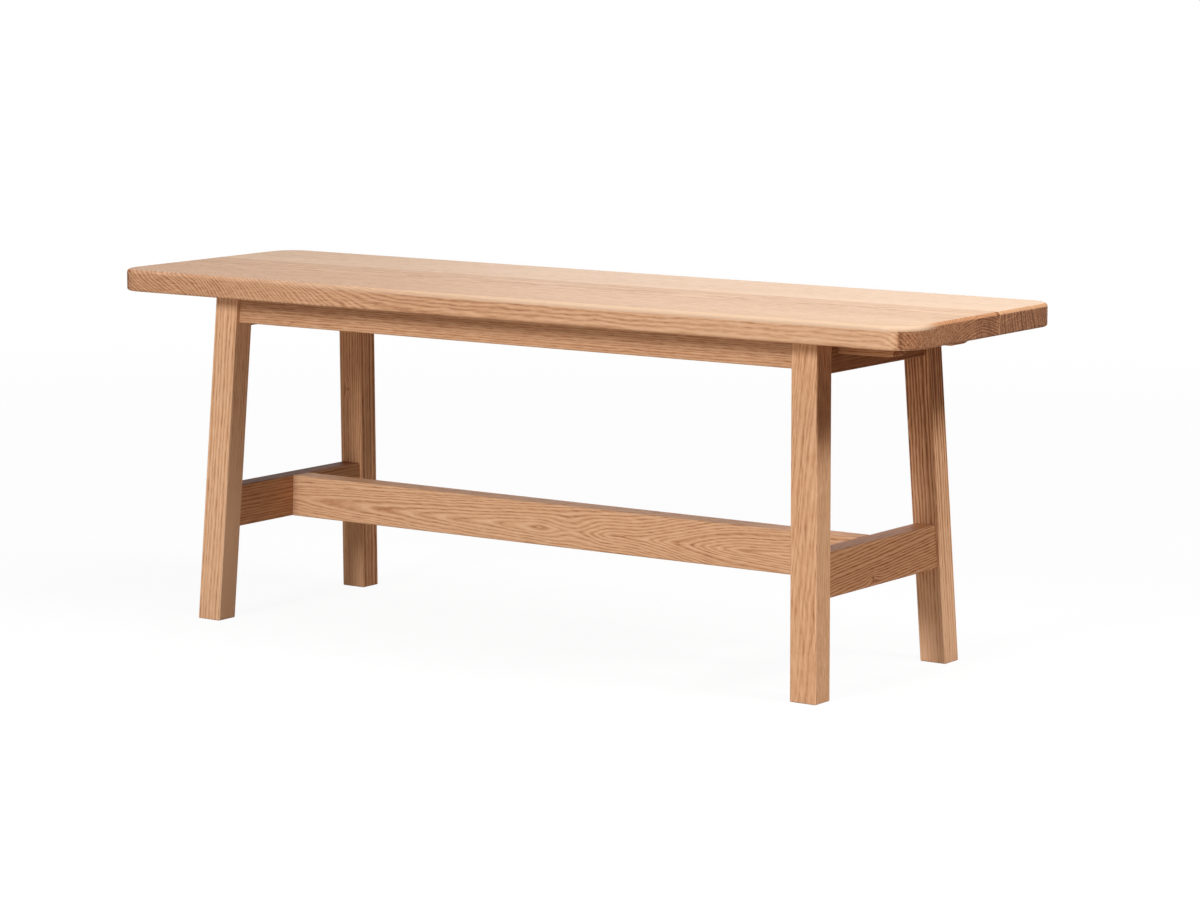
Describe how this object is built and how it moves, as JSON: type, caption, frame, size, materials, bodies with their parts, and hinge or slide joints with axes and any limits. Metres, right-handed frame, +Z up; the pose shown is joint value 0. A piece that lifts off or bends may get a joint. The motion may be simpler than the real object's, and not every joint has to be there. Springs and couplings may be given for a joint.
{
  "type": "trestle bench",
  "caption": "Backless solid-oak bench: a three-stave slab on splayed legs, joined by aprons and an H-shaped stretcher in mortise and tenon.",
  "frame": {"origin": "on the floor, under the middle of the bench's box", "axes": "+X along the seat, to the right as seen from the front; +Y from the front to the rear; +Z up"},
  "size_m": [1.2, 0.35, 0.45],
  "materials": {
    "oak_seat": "solid white oak, sanded and matt oiled",
    "oak_frame": "solid white oak, planed, edges eased, matt oiled",
    "screw_steel": "zinc-plated wood screws"
  },
  "bodies": {
    "root": {"seat_stave_front": "oak_seat", "seat_stave_middle": "oak_seat", "seat_stave_rear": "oak_seat", "leg_front_left": "oak_frame", "leg_front_right": "oak_frame", "leg_rear_left": "oak_frame", "leg_rear_right": "oak_frame", "apron_front": "oak_frame", "apron_rear": "oak_frame", "apron_left": "oak_frame", "apron_right": "oak_frame", "end_stretcher_left": "oak_frame", "end_stretcher_right": "oak_frame", "centre_stretcher": "oak_frame", "seat_bearer_front": "oak_frame", "seat_bearer_rear": "oak_frame", "seat_button_front_1": "oak_frame", "seat_button_front_2": "oak_frame", "seat_button_front_3": "oak_frame", "seat_button_rear_1": "oak_frame", "seat_button_rear_2": "oak_frame", "seat_button_rear_3": "oak_frame", "bearer_screws": "screw_steel", "button_screws": "screw_steel"}
  },
  "joints": []
}
